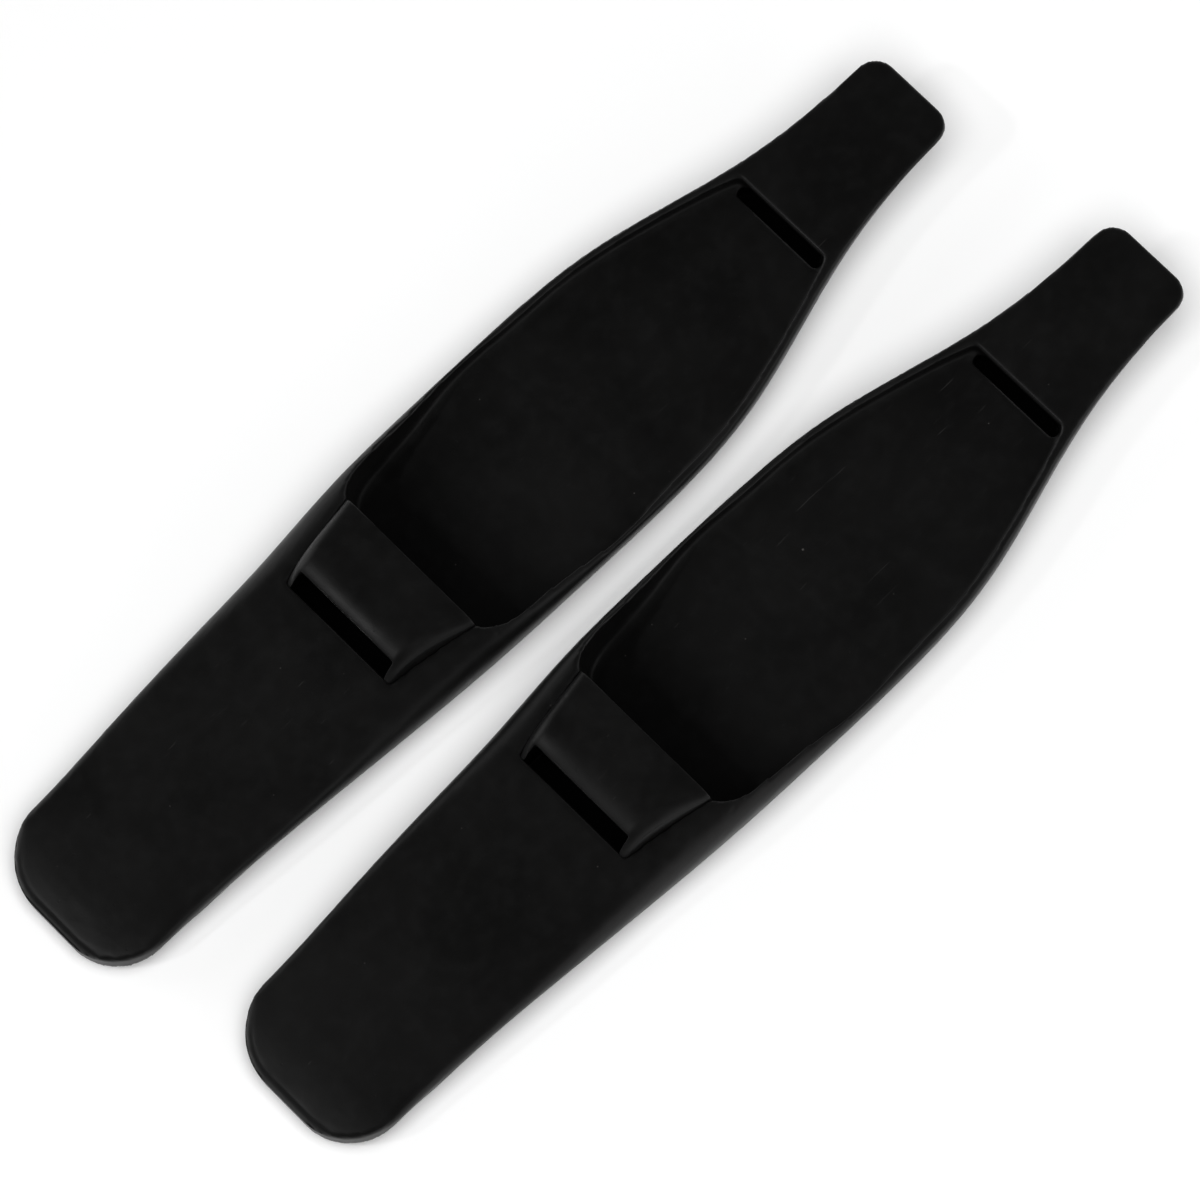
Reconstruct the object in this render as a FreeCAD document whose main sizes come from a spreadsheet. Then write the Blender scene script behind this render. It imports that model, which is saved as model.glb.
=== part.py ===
# A pair of moulded rubber blade guards lying side by side. Each guard is a long
# shell with a flat tail, a boat-shaped body around a tray and a thin tip tongue,
# and a bridge bonded over a strap channel at the wide end of the tray.
# Millimetres. X runs from tail to tip, Y across the guard, Z up from the ground.
import FreeCAD, Part
import math
import os
import Sketcher

doc = FreeCAD.newDocument("skate_blade_guards")
sheet = doc.addObject("Spreadsheet::Sheet", "sizes")
sheet_row = [1]


def size(alias, number):
    """Put one driving dimension in the sheet, under a plain-word alias."""
    row = sheet_row[0]
    sheet.set("A%d" % row, alias)
    sheet.set("B%d" % row, "%g" % number)
    sheet.setAlias("B%d" % row, alias)
    sheet_row[0] += 1


# Cross-sections of the shell, tail to tip: place along the guard, half width at
# the widest line, height of the top face, depth from top face to underside, and
# radius of the shoulder between top face and side.
SHELL_STATIONS = {
    "tail_end": (-136.5, 22.3, 5.4, 5.6, 1.6),
    "tail_heel": (-119.5, 22.6, 8.9, 5.4, 2.0),
    "tail_middle": (-95.5, 23.7, 11.1, 5.4, 2.4),
    "tail_root": (-68.5, 25.5, 12.9, 8.5, 4.2),
    "bridge_front": (-45.5, 26.9, 15.0, 14.4, 6.8),
    "bridge_back": (-21.5, 28.7, 16.2, 16.8, 6.6),
    "tray_wide": (4.5, 29.4, 12.9, 13.5, 2.8),
    "tray_middle": (30.5, 29.4, 11.4, 12.0, 1.4),
    "tray_fore": (56.5, 27.2, 12.0, 12.6, 1.2),
    "tray_nose": (80.5, 21.0, 13.4, 12.9, 1.1),
    "tongue_root": (98.5, 16.3, 14.4, 9.4, 1.0),
    "tongue_middle": (115.5, 13.9, 15.2, 3.9, 0.9),
    "tongue_end": (137.0, 13.1, 15.9, 3.2, 0.8),
}
for station, numbers in SHELL_STATIONS.items():
    for word, number in zip(("place", "half", "top", "depth", "round"), numbers):
        size(station + "_" + word, number)

# Cross-sections of the tray hollow: place, half width, height of its floor, and
# radius between floor and wall. The floor drops towards the bridge.
TRAY_STATIONS = {
    "hollow_heel": (-21.6, 22.0, 4.2, 2.0),
    "hollow_corner": (-19.2, 24.4, 3.4, 2.0),
    "hollow_cheek": (-12.0, 26.4, 3.4, 2.0),
    "hollow_wide": (4.5, 27.3, 6.0, 1.6),
    "hollow_middle": (30.5, 27.5, 8.4, 1.3),
    "hollow_fore": (56.5, 25.3, 9.2, 1.2),
    "hollow_nose": (77.0, 20.0, 9.9, 1.2),
    "hollow_brow": (87.0, 16.8, 10.2, 1.2),
    "hollow_end": (93.6, 14.2, 10.4, 1.2),
}
for station, numbers in TRAY_STATIONS.items():
    for word, number in zip(("place", "half", "floor", "round"), numbers):
        size(station + "_" + word, number)
size("hollow_open_height", 30.0)

# Rounded ends of the shell, seen from above.
size("guard_half_length", 135.75)
size("tail_end_flat_half", 6.6)
size("tail_corner_radius", 15.9)
size("tip_end_flat_half", 7.6)
size("tip_corner_radius", 5.5)
size("flare_half", 40.0)
size("flare_tail_place", 100.0)
size("flare_tip_place", 118.0)
size("guard_clear_height", 30.0)

# Cross-sections of the bridge block: place, half width of its foot, height of its
# crown, and radius of its shoulders. Its front face slopes up from the deck.
BRIDGE_STATIONS = {
    "brow_foot": (-44.9, 17.5, 15.4, 2.4),
    "brow_slope": (-41.4, 18.0, 18.7, 3.2),
    "brow_crown": (-37.0, 18.7, 20.4, 3.8),
    "bridge_saddle": (-29.0, 20.2, 19.7, 3.6),
    "bridge_heel": (-21.6, 21.8, 17.9, 3.0),
}
for station, numbers in BRIDGE_STATIONS.items():
    for word, number in zip(("place", "half", "crown", "round"), numbers):
        size(station + "_" + word, number)

# Strap channel through the bridge: an open mouth in its sloping front, then a
# tunnel to the tray.
size("channel_floor", 10.2)
size("channel_roof", 17.2)
size("channel_half", 15.6)
size("channel_start", -50.0)
size("channel_length", 30.0)
size("mouth_length", 9.1)

# Strap slot under the root of the tongue, from the tray's narrow end to below.
size("slot_start", 90.7)
size("slot_length", 26.3)
size("slot_trench_length", 3.0)
size("slot_trench_half", 13.4)
size("slot_half", 11.8)
size("slot_floor", 6.8)
size("slot_height", 4.8)

# The two guards lie parallel, one a little ahead of the other.
size("pair_half_stagger", 4.6)
size("pair_half_spacing", 34.2)
doc.recompute()


def number(alias):
    return float(sheet.get(alias))


def pin(sketch, geometry, end, kind, text, value):
    """Hold one end of a curve at a distance from the sketch's origin."""
    if value >= 0:
        constraint = Sketcher.Constraint(kind, -1, 1, geometry, end, value)
    else:
        constraint = Sketcher.Constraint(kind, geometry, end, -1, 1, -value)
    index = sketch.addConstraint(constraint)
    sketch.setExpression("Constraints[%d]" % index, "abs(" + text + ")")


def draw_outline(sketch, corners, edges):
    """Closed outline. corners: (along, up) pairs of (value, text). edges: pairs of
    corner numbers for a line, or with (centre, radius pair) for an arc that runs
    counter-clockwise from the first corner to the second."""
    ends_at = {}
    for edge in edges:
        first, second = edge[0], edge[1]
        start = FreeCAD.Vector(corners[first][0][0], corners[first][1][0], 0)
        stop = FreeCAD.Vector(corners[second][0][0], corners[second][1][0], 0)
        if len(edge) == 2:
            geometry = sketch.addGeometry(Part.LineSegment(start, stop), False)
        else:
            centre = FreeCAD.Vector(edge[2][0], edge[2][1], 0)
            radius = edge[3]
            circle = Part.Circle(centre, FreeCAD.Vector(0, 0, 1), radius[0])
            begin_angle = math.atan2(start.y - centre.y, start.x - centre.x)
            end_angle = math.atan2(stop.y - centre.y, stop.x - centre.x)
            arc = Part.ArcOfCircle(circle, begin_angle, end_angle)
            geometry = sketch.addGeometry(arc, False)
            index = sketch.addConstraint(
                Sketcher.Constraint("Radius", geometry, radius[0])
            )
            sketch.setExpression("Constraints[%d]" % index, radius[1])
        for corner, end in ((first, 1), (second, 2)):
            ends_at.setdefault(corner, []).append((geometry, end))
    for corner, ends in ends_at.items():
        along, up = corners[corner]
        geometry, end = ends[0]
        pin(sketch, geometry, end, "DistanceX", along[1], along[0])
        pin(sketch, geometry, end, "DistanceY", up[1], up[0])
        for other, other_end in ends[1:]:
            sketch.addConstraint(
                Sketcher.Constraint("Coincident", geometry, end, other, other_end)
            )


def origin_plane(body, role):
    for feature in body.Origin.OriginFeatures:
        if feature.Role == role:
            return feature
    raise RuntimeError("no " + role)


def cross_section_sketch(body, name, place_alias):
    """A sketch across the guard at one station: along is Y, up is Z."""
    sketch = body.newObject("Sketcher::SketchObject", name)
    sketch.AttachmentSupport = (origin_plane(body, "YZ_Plane"), [""])
    sketch.MapMode = "FlatFace"
    sketch.setExpression("AttachmentOffset.Base.z", "sizes." + place_alias)
    return sketch


def both_sides(text, value):
    """The same distance on the left and on the right of the middle line."""
    return (-value, text), (value, text)


def shell_section(sketch, station):
    """Flat top, shoulder arc, bilge arc and flat underside."""
    half = number(station + "_half")
    top = number(station + "_top")
    depth = number(station + "_depth")
    shoulder = number(station + "_round")
    bilge = depth - shoulder
    word = "sizes." + station
    shoulder_text = word + "_round"
    bilge_text = "(%s_depth - %s_round)" % (word, word)
    edge_height = (top - shoulder, "%s_top - %s_round" % (word, word))
    top_height = (top, word + "_top")
    base_height = (top - depth, "%s_top - %s_depth" % (word, word))
    left_top, right_top = both_sides(
        "%s_half - %s" % (word, shoulder_text), half - shoulder
    )
    left_edge, right_edge = both_sides(word + "_half", half)
    left_base, right_base = both_sides(
        "%s_half - %s" % (word, bilge_text), half - bilge
    )
    corners = [
        (left_top, top_height),
        (right_top, top_height),
        (right_edge, edge_height),
        (right_base, base_height),
        (left_base, base_height),
        (left_edge, edge_height),
    ]
    shoulder_radius = (shoulder, shoulder_text)
    bilge_radius = (bilge, bilge_text)
    level = edge_height[0]
    edges = [
        (0, 1),
        (2, 1, (half - shoulder, level), shoulder_radius),
        (3, 2, (half - bilge, level), bilge_radius),
        (3, 4),
        (5, 4, (bilge - half, level), bilge_radius),
        (0, 5, (shoulder - half, level), shoulder_radius),
    ]
    draw_outline(sketch, corners, edges)


def hollow_section(sketch, station):
    """Open-topped trough with rounded floor corners."""
    half = number(station + "_half")
    floor = number(station + "_floor")
    radius = number(station + "_round")
    word = "sizes." + station
    wall_height = (floor + radius, "%s_floor + %s_round" % (word, word))
    floor_height = (floor, word + "_floor")
    open_height = (number("hollow_open_height"), "sizes.hollow_open_height")
    left_wall, right_wall = both_sides(word + "_half", half)
    left_floor, right_floor = both_sides(
        "%s_half - %s_round" % (word, word), half - radius
    )
    corners = [
        (left_wall, open_height),
        (right_wall, open_height),
        (right_wall, wall_height),
        (right_floor, floor_height),
        (left_floor, floor_height),
        (left_wall, wall_height),
    ]
    corner_radius = (radius, word + "_round")
    level = wall_height[0]
    edges = [
        (0, 1),
        (1, 2),
        (3, 2, (half - radius, level), corner_radius),
        (3, 4),
        (5, 4, (radius - half, level), corner_radius),
        (5, 0),
    ]
    draw_outline(sketch, corners, edges)


def loft(name, stations, draw_section):
    """A body lofted through one cross-section per station."""
    body = doc.addObject("PartDesign::Body", name)
    sketches = []
    for station in stations:
        sketch = cross_section_sketch(body, name + "_" + station, station + "_place")
        draw_section(sketch, station)
        sketches.append(sketch)
    doc.recompute()
    feature = body.newObject("PartDesign::AdditiveLoft", name + "_loft")
    feature.Profile = sketches[0]
    feature.Sections = sketches[1:]
    feature.Ruled = len(sketches) == 2
    body.Tip = feature
    doc.recompute()
    return body


def plan_limit(name):
    """Everything over the ground inside the guard's rounded ends."""
    body = doc.addObject("PartDesign::Body", name)
    sketch = body.newObject("Sketcher::SketchObject", name + "_outline")
    sketch.AttachmentSupport = (origin_plane(body, "XY_Plane"), [""])
    sketch.MapMode = "FlatFace"
    end = number("guard_half_length")
    tail_radius = number("tail_corner_radius")
    tip_radius = number("tip_corner_radius")
    tail_flat = number("tail_end_flat_half")
    tip_flat = number("tip_end_flat_half")
    tail_face = (-end, "sizes.guard_half_length")
    tip_face = (end, "sizes.guard_half_length")
    tail_arc_x = (
        tail_radius - end,
        "sizes.guard_half_length - sizes.tail_corner_radius",
    )
    tip_arc_x = (end - tip_radius, "sizes.guard_half_length - sizes.tip_corner_radius")
    flare_tail = (-number("flare_tail_place"), "sizes.flare_tail_place")
    flare_tip = (number("flare_tip_place"), "sizes.flare_tip_place")
    tail_flat_text = "sizes.tail_end_flat_half"
    tip_flat_text = "sizes.tip_end_flat_half"
    tail_right, tail_left = both_sides(tail_flat_text, tail_flat)
    tip_right, tip_left = both_sides(tip_flat_text, tip_flat)
    tail_side_right, tail_side_left = both_sides(
        tail_flat_text + " + sizes.tail_corner_radius", tail_flat + tail_radius
    )
    tip_side_right, tip_side_left = both_sides(
        tip_flat_text + " + sizes.tip_corner_radius", tip_flat + tip_radius
    )
    flare_right, flare_left = both_sides("sizes.flare_half", number("flare_half"))
    corners = [
        (tail_face, tail_left),
        (tail_face, tail_right),
        (tail_arc_x, tail_side_right),
        (flare_tail, flare_right),
        (flare_tip, flare_right),
        (tip_arc_x, tip_side_right),
        (tip_face, tip_right),
        (tip_face, tip_left),
        (tip_arc_x, tip_side_left),
        (flare_tip, flare_left),
        (flare_tail, flare_left),
        (tail_arc_x, tail_side_left),
    ]
    tail_round = (tail_radius, "sizes.tail_corner_radius")
    tip_round = (tip_radius, "sizes.tip_corner_radius")
    edges = [
        (0, 1),
        (1, 2, (tail_arc_x[0], tail_right[0]), tail_round),
        (2, 3),
        (3, 4),
        (4, 5),
        (5, 6, (tip_arc_x[0], tip_right[0]), tip_round),
        (6, 7),
        (7, 8, (tip_arc_x[0], tip_left[0]), tip_round),
        (8, 9),
        (9, 10),
        (10, 11),
        (11, 0, (tail_arc_x[0], tail_left[0]), tail_round),
    ]
    draw_outline(sketch, corners, edges)
    doc.recompute()
    pad = body.newObject("PartDesign::Pad", name + "_pad")
    pad.Profile = sketch
    pad.setExpression("Length", "sizes.guard_clear_height")
    body.Tip = pad
    doc.recompute()
    return body


def bridge_section(sketch, station):
    """Block with a flat foot, straight sides and rounded shoulders."""
    half = number(station + "_half")
    crown = number(station + "_crown")
    radius = number(station + "_round")
    word = "sizes." + station
    foot = (number("channel_floor"), "sizes.channel_floor")
    top = (crown, word + "_crown")
    shoulder = (crown - radius, "%s_crown - %s_round" % (word, word))
    left_side, right_side = both_sides(word + "_half", half)
    left_top, right_top = both_sides(
        "%s_half - %s_round" % (word, word), half - radius
    )
    corners = [
        (left_side, foot),
        (left_side, shoulder),
        (left_top, top),
        (right_top, top),
        (right_side, shoulder),
        (right_side, foot),
    ]
    rounding = (radius, word + "_round")
    edges = [
        (0, 1),
        (2, 1, (radius - half, shoulder[0]), rounding),
        (2, 3),
        (4, 3, (half - radius, shoulder[0]), rounding),
        (4, 5),
        (5, 0),
    ]
    draw_outline(sketch, corners, edges)


def seat_section(sketch, station):
    """Recess that the bridge's legs stand in, as wide as the bridge."""
    floor = (number("channel_floor"), "sizes.channel_floor")
    above = (number("hollow_open_height"), "sizes.hollow_open_height")
    word = "sizes." + station + "_half"
    left, right = both_sides(word, number(station + "_half"))
    corners = [(left, floor), (right, floor), (right, above), (left, above)]
    draw_outline(sketch, corners, [(0, 1), (1, 2), (2, 3), (3, 0)])


def box(name, expressions):
    feature = doc.addObject("Part::Box", name)
    for prop, text in expressions.items():
        feature.setExpression(prop, text)
    return feature


def channel_box(name, length, height):
    """Box as wide as the strap channel, from ahead of the bridge's front."""
    return box(
        name,
        {
            "Length": length,
            "Width": "2 * sizes.channel_half",
            "Height": height + " - sizes.channel_floor",
            "Placement.Base.x": "sizes.channel_start",
            "Placement.Base.y": "-sizes.channel_half",
            "Placement.Base.z": "sizes.channel_floor",
        },
    )


def slot_box(name, length, half):
    """Box as high as the strap slot, from the slot's mouth in the tray's floor."""
    return box(
        name,
        {
            "Length": length,
            "Width": "2 * " + half,
            "Height": "sizes.slot_height",
            "Placement.Base.x": "sizes.slot_start",
            "Placement.Base.y": "-" + half,
            "Placement.Base.z": "sizes.slot_floor",
        },
    )


def cut(name, base, tools):
    """The base with every tool taken out of it."""
    cutters = doc.addObject("Part::MultiFuse", name + "_cutters")
    cutters.Shapes = tools
    result = doc.addObject("Part::Cut", name)
    result.Base = base
    result.Tool = cutters
    return result


def make_guard(prefix, sign):
    """One guard: a shell and its bonded bridge, placed left or right of the pair's
    middle by sign."""
    outside = loft(prefix + "_outside", list(SHELL_STATIONS), shell_section)
    limit = plan_limit(prefix + "_limit")
    hollow = loft(prefix + "_hollow", list(TRAY_STATIONS), hollow_section)
    seat = loft(prefix + "_seat", list(BRIDGE_STATIONS), seat_section)
    slot = slot_box(prefix + "_slot", "sizes.slot_length", "sizes.slot_half")
    trench = slot_box(
        prefix + "_slot_trench", "sizes.slot_trench_length", "sizes.slot_trench_half"
    )
    trimmed = doc.addObject("Part::Common", prefix + "_trimmed")
    trimmed.Base = outside
    trimmed.Tool = limit
    shell = cut(prefix + "_shell", trimmed, [hollow, seat, slot, trench])
    block = loft(prefix + "_block", list(BRIDGE_STATIONS), bridge_section)
    tunnel = channel_box(
        prefix + "_tunnel", "sizes.channel_length", "sizes.channel_roof"
    )
    mouth = channel_box(
        prefix + "_mouth", "sizes.mouth_length", "sizes.hollow_open_height"
    )
    bridge = cut(prefix + "_bridge", block, [tunnel, mouth])
    for piece in (shell, bridge):
        piece.setExpression(
            "Placement.Base.x", "%d * sizes.pair_half_stagger" % -sign
        )
        piece.setExpression("Placement.Base.y", "%d * sizes.pair_half_spacing" % sign)
    doc.recompute()
    return {prefix + "_shell": shell, prefix + "_bridge": bridge}


pieces = {}
pieces.update(make_guard("guard_a", 1))
pieces.update(make_guard("guard_b", -1))
doc.recompute()

for thing in doc.Objects:
    for word in ("Invalid", "Error"):
        if word in thing.State:
            raise RuntimeError("%s is %s" % (thing.Name, thing.State))
os.makedirs("parts", exist_ok=True)
for node, piece in pieces.items():
    piece.Label = node
    shape = piece.Shape
    if shape.isNull() or not shape.isValid() or len(shape.Solids) != 1:
        raise RuntimeError(node + " is not one valid solid")
    shape.exportStep("parts/" + node + ".step")
    limits = shape.BoundBox
    print(
        "%s volume %.0f box %.2f %.2f %.2f to %.2f %.2f %.2f"
        % (
            node,
            shape.Volume,
            limits.XMin,
            limits.YMin,
            limits.ZMin,
            limits.XMax,
            limits.YMax,
            limits.ZMax,
        )
    )
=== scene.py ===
"""A pair of black rubber guards, seen from above on a pale studio floor."""

import math

import bpy
from mathutils import Matrix, Vector, noise


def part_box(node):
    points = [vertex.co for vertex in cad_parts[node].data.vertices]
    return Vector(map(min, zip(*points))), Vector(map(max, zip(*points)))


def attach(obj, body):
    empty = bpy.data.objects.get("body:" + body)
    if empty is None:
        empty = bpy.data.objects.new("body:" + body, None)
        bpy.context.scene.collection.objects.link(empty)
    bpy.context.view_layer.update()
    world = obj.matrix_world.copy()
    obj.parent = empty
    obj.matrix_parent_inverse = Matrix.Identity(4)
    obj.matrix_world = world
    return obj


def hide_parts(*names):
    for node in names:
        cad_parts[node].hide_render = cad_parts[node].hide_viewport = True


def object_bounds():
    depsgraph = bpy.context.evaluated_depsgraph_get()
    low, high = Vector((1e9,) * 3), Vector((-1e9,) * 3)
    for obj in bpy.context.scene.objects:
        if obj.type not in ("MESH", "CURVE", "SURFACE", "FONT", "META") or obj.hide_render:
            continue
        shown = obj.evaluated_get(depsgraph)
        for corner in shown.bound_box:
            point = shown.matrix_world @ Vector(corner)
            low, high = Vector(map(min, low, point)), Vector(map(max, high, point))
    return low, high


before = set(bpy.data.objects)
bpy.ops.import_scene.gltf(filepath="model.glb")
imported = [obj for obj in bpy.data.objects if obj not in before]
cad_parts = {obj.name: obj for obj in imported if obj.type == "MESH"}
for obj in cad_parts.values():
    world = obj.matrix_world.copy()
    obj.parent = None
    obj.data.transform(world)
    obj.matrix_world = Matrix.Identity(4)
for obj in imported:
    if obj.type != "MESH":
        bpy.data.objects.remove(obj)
cad_low, cad_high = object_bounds()
MM = 0.001

# ---------------------------------------------------------------- camera
# The camera leans from straight above towards the near side and the tails.
CAMERA_LENS_MM = 320.0
SENSOR_MM = 36.0
LEAN_TO_NEAR_SIDE = math.radians(20.15)
LEAN_TO_TAILS = math.radians(6.91)
CAMERA_ROLL = math.radians(45.78)
CAMERA_DISTANCE = 2.3945
AIM = Vector((-0.00167, -0.00061, 0.008))


def add_camera():
    data = bpy.data.cameras.new("camera")
    data.lens = CAMERA_LENS_MM
    data.sensor_width = SENSOR_MM
    data.clip_start = 0.05
    data.clip_end = 20.0
    camera = bpy.data.objects.new("camera", data)
    bpy.context.scene.collection.objects.link(camera)
    back = Vector((-math.tan(LEAN_TO_TAILS), -math.tan(LEAN_TO_NEAR_SIDE), 1.0))
    back.normalize()
    right = Vector((0.0, 1.0, 0.0)).cross(back).normalized()
    up = back.cross(right)
    turn = Matrix.Rotation(-CAMERA_ROLL, 3, back)
    axes = Matrix((turn @ right, turn @ up, back)).transposed()
    camera.matrix_world = Matrix.Translation(AIM + back * CAMERA_DISTANCE) @ axes.to_4x4()
    bpy.context.scene.camera = camera


add_camera()


# ---------------------------------------------------------------- materials
class Nodes:
    """Short calls for making and joining shader nodes."""

    def __init__(self, tree):
        self.tree = tree
        tree.nodes.clear()

    def add(self, kind, inputs=None, **settings):
        node = self.tree.nodes.new(kind)
        for key, value in settings.items():
            setattr(node, key, value)
        for key, value in (inputs or {}).items():
            self.put(node, key, value)
        return node

    def put(self, node, key, value):
        if isinstance(value, bpy.types.NodeSocket):
            self.tree.links.new(value, node.inputs[key])
        else:
            node.inputs[key].default_value = value

    def noise(self, vector, scale, detail=3.0, roughness=0.55):
        inputs = {"Vector": vector, "Scale": scale, "Detail": detail, "Roughness": roughness}
        return self.add("ShaderNodeTexNoise", inputs).outputs["Fac"]

    def ramp(self, value, low, high, to_low=0.0, to_high=1.0):
        inputs = {"Value": value, "From Min": low, "From Max": high,
                  "To Min": to_low, "To Max": to_high}
        node = self.add("ShaderNodeMapRange", inputs, interpolation_type="SMOOTHSTEP")
        return node.outputs["Result"]

    def math(self, operation, first, second):
        node = self.add("ShaderNodeMath", {0: first, 1: second}, operation=operation)
        return node.outputs[0]

    def mix(self, amount, first, second):
        node = self.add("ShaderNodeMix", data_type="RGBA")
        for index, value in ((0, amount), (6, first), (7, second)):
            self.put(node, index, value)
        return node.outputs[2]


def grey(value, warm=0.0):
    return (value * (1 + warm), value, value * (1 - warm), 1.0)


SCRATCH_FINENESS = 1500.0


def scratches(nodes, place, turn, stretch, patch_scale):
    """Fine straight marks running one way, in a few patches."""
    lines = nodes.add(
        "ShaderNodeMapping",
        {"Vector": place, "Scale": (stretch, SCRATCH_FINENESS, SCRATCH_FINENESS),
         "Rotation": (0.0, 0.0, turn)},
    ).outputs["Vector"]
    marks = nodes.ramp(nodes.noise(lines, 1.0, 2.0), 0.70, 0.78)
    patch = nodes.ramp(nodes.noise(place, patch_scale, 2.0), 0.54, 0.66)
    return nodes.math("MULTIPLY", marks, patch)


def specks(nodes, place, scale, radius, keep):
    """Small dots: one per cell, in the share of the cells above keep."""
    cells = nodes.add("ShaderNodeTexVoronoi", {"Vector": place, "Scale": scale}, feature="F1")
    dot = nodes.ramp(cells.outputs["Distance"], radius, radius * 0.4)
    pick = nodes.add("ShaderNodeSeparateColor", {"Color": cells.outputs["Color"]})
    return nodes.math("MULTIPLY", dot, nodes.ramp(pick.outputs[0], keep, keep + 0.02))


# The recesses get painted shade, darker and duller, to match the photo: shape and light
# alone leave them too pale. POLISH is how strongly the rubber reflects, and SHADE is
# the share of the rubber's own shade that a recess keeps. RECESS names the value
# stored on each vertex, from 0 in the open to 1 deep inside a recess.
POLISH_OPEN = 0.22
POLISH_RECESS = 0.02
SHADE_RECESS = 0.15
RECESS = "recess"


def black_rubber(name, shade, roughness_low, roughness_high):
    """Satin black moulded rubber: cloudy bloom, fine grain, dust and scuffs; edges a little
    paler and smoother, partly rubbing wear and partly a painted highlight; grooves and
    recesses darkened as painted shade."""
    material = bpy.data.materials.new(name)
    material.use_nodes = True
    nodes = Nodes(material.node_tree)
    place = nodes.add("ShaderNodeTexCoord").outputs["Object"]
    cloud = nodes.noise(place, 42.0, 4.0, 0.6)
    mottle = nodes.noise(place, 260.0, 3.0)
    grain = nodes.noise(place, 2400.0, 2.0)
    pits = specks(nodes, place, 620.0, 0.22, 0.90)
    dust = specks(nodes, place, 330.0, 0.075, 0.93)
    lint = specks(nodes, place, 130.0, 0.045, 0.90)
    scuff = nodes.math("MAXIMUM", scratches(nodes, place, 0.5, 70.0, 34.0),
                       scratches(nodes, place, -1.1, 55.0, 27.0))
    bend = nodes.add("ShaderNodeNewGeometry").outputs["Pointiness"]
    # Convex edges: partly rubbing wear, partly a painted highlight.
    edge = nodes.ramp(bend, 0.508, 0.565)
    groove_shade = nodes.ramp(bend, 0.492, 0.44)
    recess = nodes.add("ShaderNodeAttribute", attribute_name=RECESS).outputs["Fac"]

    colour = nodes.mix(cloud, grey(shade * 0.70), grey(shade * 1.30, 0.02))
    colour = nodes.mix(nodes.ramp(mottle, 0.4, 0.75, 0.0, 0.5), colour, grey(shade * 1.7))
    # Edges painted paler: partly rubbing wear, partly a painted highlight.
    colour = nodes.mix(nodes.math("MULTIPLY", edge, 0.5), colour, grey(shade * 3.0))
    # Painted shade: hollow grooves and creases darkened.
    colour = nodes.mix(nodes.math("MULTIPLY", groove_shade, 0.5), colour, grey(shade * 0.4))
    colour = nodes.mix(nodes.math("MULTIPLY", scuff, 0.18), colour, grey(0.05, 0.03))
    colour = nodes.mix(nodes.math("MULTIPLY", dust, 0.45), colour, grey(0.06, 0.05))
    colour = nodes.mix(nodes.math("MULTIPLY", lint, 0.40), colour, grey(0.10, 0.05))
    # Painted shade: recesses darken to SHADE_RECESS of the shade, and their reflection dims
    # from POLISH_OPEN to POLISH_RECESS.
    colour = nodes.mix(recess, colour, grey(shade * SHADE_RECESS))
    polish = nodes.ramp(recess, 0.0, 1.0, POLISH_OPEN, POLISH_RECESS)

    rough = nodes.ramp(cloud, 0.3, 0.7, roughness_low, roughness_high)
    rough = nodes.math("ADD", rough, nodes.math("MULTIPLY", scuff, 0.12))
    rough = nodes.math("ADD", rough, nodes.math("MULTIPLY", mottle, 0.05))
    rough = nodes.math("SUBTRACT", rough, nodes.math("MULTIPLY", edge, 0.10))

    height = nodes.math("MULTIPLY", cloud, 0.45)
    height = nodes.math("ADD", height, nodes.math("MULTIPLY", mottle, 0.22))
    height = nodes.math("ADD", height, nodes.math("MULTIPLY", grain, 0.08))
    height = nodes.math("ADD", height, nodes.math("MULTIPLY", dust, 0.20))
    height = nodes.math("SUBTRACT", height, nodes.math("MULTIPLY", pits, 0.16))
    height = nodes.math("SUBTRACT", height, nodes.math("MULTIPLY", scuff, 0.10))
    bump = nodes.add(
        "ShaderNodeBump", {"Height": height, "Strength": 0.35, "Distance": 0.0004}
    ).outputs["Normal"]
    shader = nodes.add(
        "ShaderNodeBsdfPrincipled",
        {"Base Color": colour, "Roughness": rough, "Normal": bump,
         "Specular IOR Level": polish, "IOR": 1.5},
    )
    output = nodes.add("ShaderNodeOutputMaterial")
    nodes.tree.links.new(shader.outputs[0], output.inputs["Surface"])
    return material


shell_rubber = black_rubber("shell_rubber", 0.0031, 0.33, 0.46)
bridge_rubber = black_rubber("bridge_rubber", 0.0034, 0.32, 0.45)


# ---------------------------------------------------------------- mouldings
SHELL_VOXEL = 0.62 * MM
SHELL_ROUNDS = 2
BRIDGE_VOXEL = 0.28 * MM
BRIDGE_ROUNDS = 5


def baked_copy(node, name, voxel, rounds):
    """A new piece in the shape of a CAD node, rebuilt from voxels and then smoothed
    for some rounds, so that every edge is soft as in moulded rubber."""
    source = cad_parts[node]
    work = bpy.data.objects.new(name + "_work", source.data.copy())
    bpy.context.scene.collection.objects.link(work)
    skin = work.modifiers.new("skin", "REMESH")
    skin.mode = "VOXEL"
    skin.voxel_size = voxel
    skin.adaptivity = 0.0
    soften = work.modifiers.new("soften", "SMOOTH")
    soften.factor = 0.5
    soften.iterations = rounds
    graph = bpy.context.evaluated_depsgraph_get()
    mesh = bpy.data.meshes.new_from_object(work.evaluated_get(graph))
    bpy.data.objects.remove(work)
    mesh.name = name
    mesh.shade_smooth()
    piece = bpy.data.objects.new(name, mesh)
    bpy.context.scene.collection.objects.link(piece)
    return piece


def smooth_step(low, high, value):
    part = min(max((value - low) / (high - low), 0.0), 1.0)
    return part * part * (3.0 - 2.0 * part)


# Lengths along a guard count from its tail's end, widths from its middle line and
# heights from the surface that it lies on.
TAIL_FLAT_HALF = 6.6 * MM
TAIL_CORNER = 15.9 * MM
TAIL_ROLL = 2.4 * MM
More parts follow.
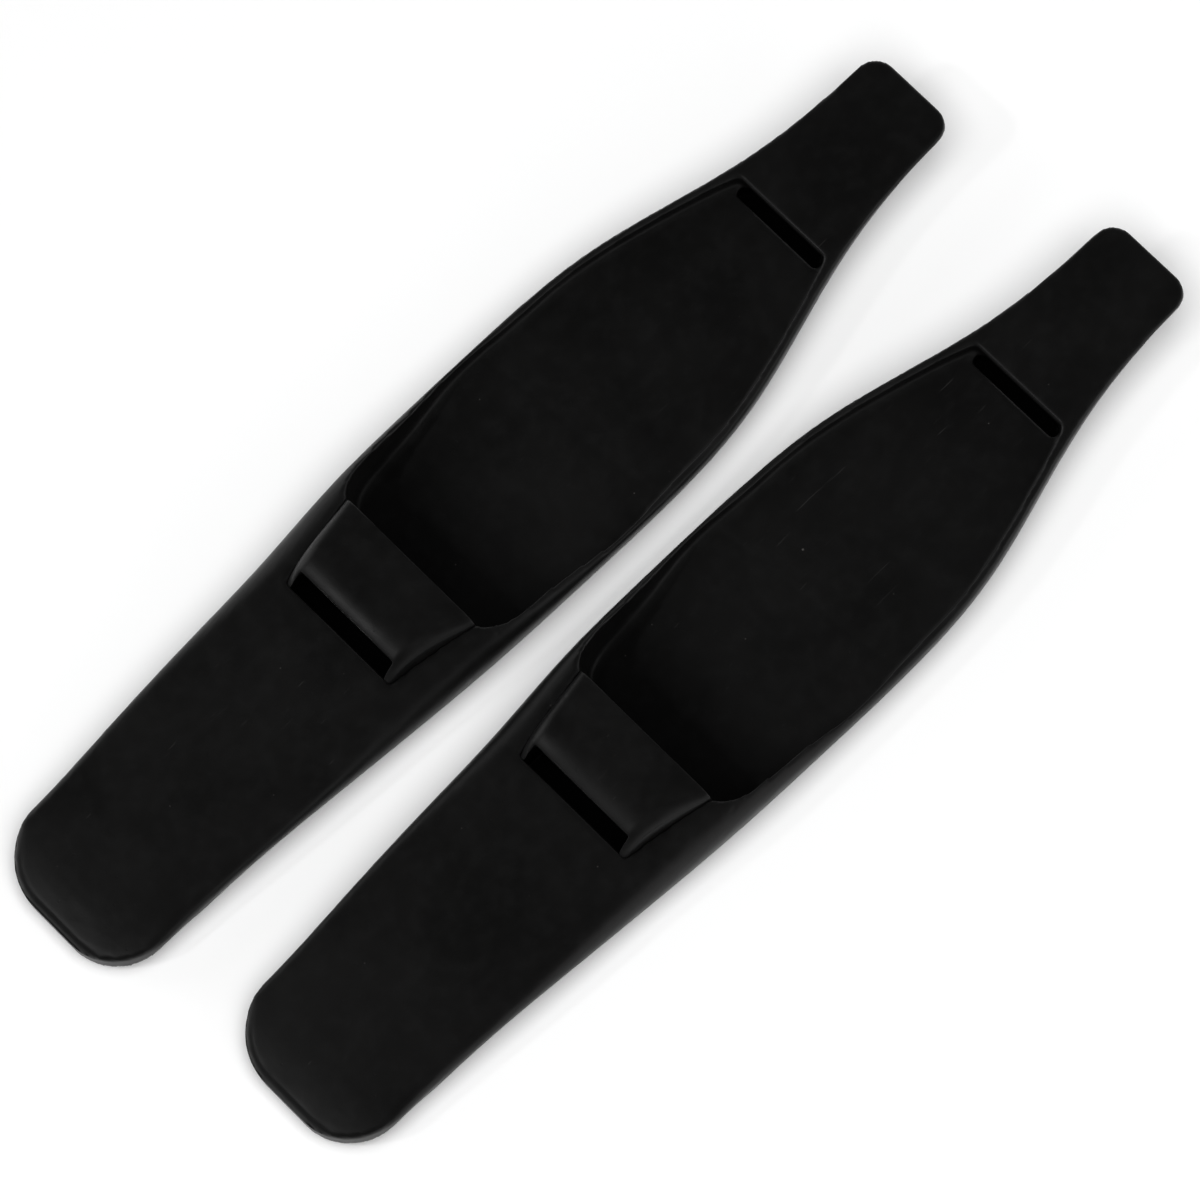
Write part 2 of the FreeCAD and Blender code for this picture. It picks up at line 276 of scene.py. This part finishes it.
# Shares of the corner between which the rolled end fades out along the tail.
ROLL_WHOLE = 0.4
ROLL_GONE = 0.8
ROLL_DEPTH = 0.8
# The roll is weaker at the near corner: its strength there, and where it grows.
ROLL_NEAR = 0.15
ROLL_NEAR_REST = 0.85
ROLL_GROWS_FROM = -15 * MM
ROLL_GROWS_TO = -8 * MM
BILGE_RADIUS = 4.0 * MM
# The squared side: the power of its curve, the share of the radius where it starts,
# how much of it goes into height, and how it comes in and fades along the tail.
SIDE_POWER = 5
SIDE_FROM = 0.8
SIDE_HEIGHT_SHARE = 0.5
SIDE_BLEND = 12 * MM
SIDE_FADES_FROM = 26 * MM
SIDE_END = 56 * MM
# Distance from the tail's end, half width and height of the widest line there.
TAIL_WIDEST = ((-0.75 * MM, 22.3 * MM, 3.8 * MM), (16.25 * MM, 22.6 * MM, 6.9 * MM),
               (40.25 * MM, 23.7 * MM, 8.7 * MM), (67.25 * MM, 25.5 * MM, 8.7 * MM))
# The faint fold across the tray floor, a little askew and wavering.
CREASE_PLACE = 162.3 * MM
CREASE_HALF = 27 * MM
CREASE_SKEW = 0.09
CREASE_WAVER = 0.3 * MM
CREASE_WAVER_LENGTH = 6 * MM
CREASE_WIDTH = 0.9 * MM
CREASE_DEPTH = 0.05 * MM
SHELL_WAVE = 0.05 * MM
SHELL_WAVE_LENGTH = 13 * MM
# Rough flecks behind the bridge's near corner.
FLECK_BEHIND = 3.0 * MM
FLECK_SIDE = 23.5 * MM
FLECK_WHOLE = 2 * MM
FLECK_REACH = 5 * MM
FLECK_SIZE = 0.9 * MM
FLECK_DEPTH = 0.35 * MM
# The sink over the channel and the bridge's unevenness; these depths are in mm.
SINK_HALF = 11 * MM
SINK_DEPTH_MM = 0.22
BRIDGE_WAVE_MM = 0.07
BRIDGE_WAVE_LENGTH = 7 * MM
BRIDGE_FRONT = 90.8 * MM
BRIDGE_BACK = 114.2 * MM
CHANNEL_HALF = 15.9 * MM
CHANNEL_TOP = 10.9 * MM
CHANNEL_ROOF = 17.5 * MM
SLOT_FRONT = 226.2 * MM
SLOT_BACK = 252.6 * MM
SLOT_HALF = 13.6 * MM
SLOT_LOW = 6.0 * MM
SLOT_TOP = 10.0 * MM
TRAY_SHALLOW = 160.0 * MM
TRAY_HALF = 27.6 * MM
TRAY_BELOW = 1.5 * MM
TRAY_LOW = 3.2 * MM
TRAY_HIGH = 8.0 * MM
# How dark the painted shade in the tray's deep end gets, and over what length a channel's
# painted shade comes in.
TRAY_RECESS_SHADE = 0.55
RECESS_EDGE = 0.8 * MM


def from_tail_edge(x, y):
    """Distance inwards from the tail's rounded outline; x counts from its end."""
    side = max(abs(y) - TAIL_FLAT_HALF, 0.0)
    if x >= TAIL_CORNER:
        return TAIL_CORNER - side
    return TAIL_CORNER - math.hypot(TAIL_CORNER - x, side)


def widest_line(x):
    """Half width and height of the tail's widest line, x from the tail's end."""
    for near, far in zip(TAIL_WIDEST, TAIL_WIDEST[1:]):
        if x <= far[0]:
            part = (x - near[0]) / (far[0] - near[0])
            return (near[1] + part * (far[1] - near[1]),
                    near[2] + part * (far[2] - near[2]))
    return TAIL_WIDEST[-1][1:]


def square_tail_side(co, x, y):
    """Push the round underside of the tail's edge out into an upright wall."""
    half, level = widest_line(x)
    out = (abs(y) - (half - BILGE_RADIUS)) / BILGE_RADIUS
    down = (level - co.z) / BILGE_RADIUS
    if out <= 0.0 or down <= 0.0:
        return
    reach = math.hypot(out, down)
    if reach < SIDE_FROM:
        return
    square = reach / (out**SIDE_POWER + down**SIDE_POWER) ** (1.0 / SIDE_POWER)
    share = smooth_step(TAIL_CORNER, TAIL_CORNER + SIDE_BLEND, x)
    share *= 1.0 - smooth_step(SIDE_FADES_FROM, SIDE_END, x)
    grow = 1.0 + (square - 1.0) * share
    co.y += math.copysign(out * BILGE_RADIUS * (grow - 1.0), y)
    co.z -= down * BILGE_RADIUS * (grow - 1.0) * SIDE_HEIGHT_SHARE


def roll_tail_end(co, x, y, up):
    """Turn down the upper edge of the tail's rounded end."""
    inward = from_tail_edge(x, y)
    if inward >= TAIL_ROLL:
        return
    fade = 1.0 - smooth_step(ROLL_WHOLE * TAIL_CORNER, ROLL_GONE * TAIL_CORNER, x)
    fade *= ROLL_NEAR + ROLL_NEAR_REST * smooth_step(ROLL_GROWS_FROM, ROLL_GROWS_TO, y)
    short = TAIL_ROLL - max(inward, 0.0)
    drop = TAIL_ROLL - math.sqrt(TAIL_ROLL**2 - short**2)
    co.z -= ROLL_DEPTH * drop * fade * smooth_step(-0.2, 0.6, up)


def press_crease(co, x, y):
    """Press the faint fold into the tray floor."""
    line = CREASE_PLACE - CREASE_SKEW * y
    line += CREASE_WAVER * math.sin(y / CREASE_WAVER_LENGTH)
    near = math.exp(-(((x - line) / CREASE_WIDTH) ** 2))
    co.z -= CREASE_DEPTH * near


def finish_shell(piece, tail, middle):
    """Detail added one by one: the tail's upright edge and rolled end, the faint fold
    across the tray floor, a moulding's slight unevenness, and the rough flecks at
    the bridge's near corner."""
    for vertex, normal in zip(piece.data.vertices, piece.data.vertex_normals):
        x = vertex.co.x - tail
        y = vertex.co.y - middle
        up = normal.vector.z
        if TAIL_CORNER < x < SIDE_END and up < 0.0:
            square_tail_side(vertex.co, x, y)
        if x < 2 * TAIL_CORNER and up > -0.2:
            roll_tail_end(vertex.co, x, y, up)
        if up > 0.8 and abs(y) < CREASE_HALF:
            press_crease(vertex.co, x, y)
        wave = noise.noise(Vector((x, y, 0.0)) / SHELL_WAVE_LENGTH)
        vertex.co.z += SHELL_WAVE * wave * smooth_step(0.3, 0.9, up)
        from_corner = math.hypot(x - BRIDGE_BACK - FLECK_BEHIND, y + FLECK_SIDE)
        if from_corner < FLECK_REACH and up > 0.2:
            rough = noise.noise(vertex.co / FLECK_SIZE)
            fade = 1.0 - smooth_step(FLECK_WHOLE, FLECK_REACH, from_corner)
            vertex.co.z -= FLECK_DEPTH * abs(rough) * fade


def mark_recess_shade(piece, depth_at, tail, middle):
    """Store on each vertex how deep in a recess it lies, as the amount of painted shade
    there.
    """
    layer = piece.data.attributes.new(RECESS, "FLOAT", "POINT")
    for vertex, normal in zip(piece.data.vertices, piece.data.vertex_normals):
        x = vertex.co.x - tail
        y = abs(vertex.co.y - middle)
        layer.data[vertex.index].value = depth_at(x, y, vertex.co.z, normal.vector)


def shell_recess_shade(x, y, z, normal):
    """Painted shade: full in the strap channel and the slot, about half in the tray's deep
    end.
    """
    if y < CHANNEL_HALF and BRIDGE_FRONT < x < BRIDGE_BACK and z < CHANNEL_TOP:
        return smooth_step(BRIDGE_FRONT, BRIDGE_FRONT + RECESS_EDGE, x)
    if y < SLOT_HALF and SLOT_FRONT < x < SLOT_BACK and SLOT_LOW < z < SLOT_TOP:
        return 1.0
    in_tray = BRIDGE_BACK < x < TRAY_SHALLOW and y < TRAY_HALF and z > TRAY_BELOW
    if in_tray and normal.z > -0.2:
        return TRAY_RECESS_SHADE * (1.0 - smooth_step(TRAY_LOW, TRAY_HIGH, z))
    return 0.0


def bridge_recess_shade(x, y, z, normal):
    """Painted shade on the channel's roof and sides."""
    if y < CHANNEL_HALF and z < CHANNEL_ROOF and normal.z < 0.4:
        return smooth_step(CHANNEL_ROOF, CHANNEL_ROOF - RECESS_EDGE, z)
    return 0.0


def finish_bridge(piece, tail, middle):
    """Soft sink over the strap channel, and a little unevenness."""
    for vertex, normal in zip(piece.data.vertices, piece.data.vertex_normals):
        x = vertex.co.x - tail
        y = vertex.co.y - middle
        if normal.vector.z > 0.5:
            sink = math.exp(-((y / SINK_HALF) ** 2))
            wave = noise.noise(Vector((x, y, 3.0 * MM)) / BRIDGE_WAVE_LENGTH)
            vertex.co.z -= MM * (SINK_DEPTH_MM * sink + BRIDGE_WAVE_MM * (1.0 + wave))


def dress(piece, material, body, node):
    piece.data.materials.clear()
    piece.data.materials.append(material)
    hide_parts(node)
    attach(piece, body)


for guard in ("guard_a", "guard_b"):
    low, high = (Vector(corner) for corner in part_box(guard + "_shell"))
    tail, middle = low.x, (low.y + high.y) / 2
    shell = baked_copy(
        guard + "_shell", guard + "_shell_moulding", SHELL_VOXEL, SHELL_ROUNDS
    )
    finish_shell(shell, tail, middle)
    mark_recess_shade(shell, shell_recess_shade, tail, middle)
    dress(shell, shell_rubber, guard, guard + "_shell")
    bridge = baked_copy(
        guard + "_bridge", guard + "_bridge_moulding", BRIDGE_VOXEL, BRIDGE_ROUNDS
    )
    finish_bridge(bridge, tail, middle)
    mark_recess_shade(bridge, bridge_recess_shade, tail, middle)
    dress(bridge, bridge_rubber, guard, guard + "_bridge")


# ---------------------------------------------------------------- studio
FLOOR_REACH = 4.0
# Which way the walls turn from dim to bright, as the X part of a direction, and
# where they give way to the ceiling, as the Z part.
WALL_TURN = (-0.95, -0.3)
WALL_TOP = (0.14, 0.55)


def add_floor():
    mesh = bpy.data.meshes.new("floor")
    level = cad_low.z
    corners = [(-FLOOR_REACH, -FLOOR_REACH, level), (FLOOR_REACH, -FLOOR_REACH, level),
               (FLOOR_REACH, FLOOR_REACH, level), (-FLOOR_REACH, FLOOR_REACH, level)]
    mesh.from_pydata(corners, [], [(0, 1, 2, 3)])
    floor = bpy.data.objects.new("floor", mesh)
    bpy.context.scene.collection.objects.link(floor)
    material = bpy.data.materials.new("floor_paper")
    material.use_nodes = True
    shader = material.node_tree.nodes["Principled BSDF"]
    shader.inputs["Base Color"].default_value = (0.93, 0.93, 0.93, 1.0)
    shader.inputs["Roughness"].default_value = 0.9
    shader.inputs["Specular IOR Level"].default_value = 0.1
    mesh.materials.append(material)


def add_light(name, azimuth, elevation, distance, side, power, in_reflections=True):
    data = bpy.data.lights.new(name, "AREA")
    data.shape = "SQUARE"
    data.size = side
    data.energy = power
    light = bpy.data.objects.new(name, data)
    bpy.context.scene.collection.objects.link(light)
    turn, rise = math.radians(azimuth), math.radians(elevation)
    place = Vector((math.cos(turn) * math.cos(rise),
                    math.sin(turn) * math.cos(rise), math.sin(rise)))
    light.location = place * distance
    light.rotation_mode = "QUATERNION"
    light.rotation_quaternion = place.to_track_quat("Z", "Y")
    light.visible_glossy = in_reflections


def add_world():
    """Pale walls under a dark ceiling, dimmer on the side that the tails point to."""
    world = bpy.data.worlds.new("studio")
    bpy.context.scene.world = world
    world.use_nodes = True
    nodes = Nodes(world.node_tree)
    way = nodes.add("ShaderNodeTexCoord").outputs["Generated"]
    parts = nodes.add("ShaderNodeSeparateXYZ", {"Vector": way}).outputs
    walls = nodes.mix(nodes.ramp(parts["X"], *WALL_TURN), grey(0.25), grey(0.95))
    colour = nodes.mix(nodes.ramp(parts["Z"], *WALL_TOP), walls, grey(0.02))
    background = nodes.add("ShaderNodeBackground", {"Color": colour, "Strength": 1.0})
    output = nodes.add("ShaderNodeOutputWorld")
    nodes.tree.links.new(background.outputs[0], output.inputs["Surface"])


add_floor()
add_world()
# Azimuth and elevation in degrees, distance and side in metres, power in watts.
add_light("ceiling", -100.0, 72.0, 1.8, 2.0, 42.0, in_reflections=False)
add_light("soft_far", 112.0, 24.0, 1.8, 0.9, 3.6)
add_light("soft_near", -62.0, 20.0, 1.8, 0.9, 3.0)
add_light("tail_strip", 150.0, 48.0, 1.7, 0.12, 2.4)

scene_view = bpy.context.scene.view_settings
scene_view.view_transform = "Standard"
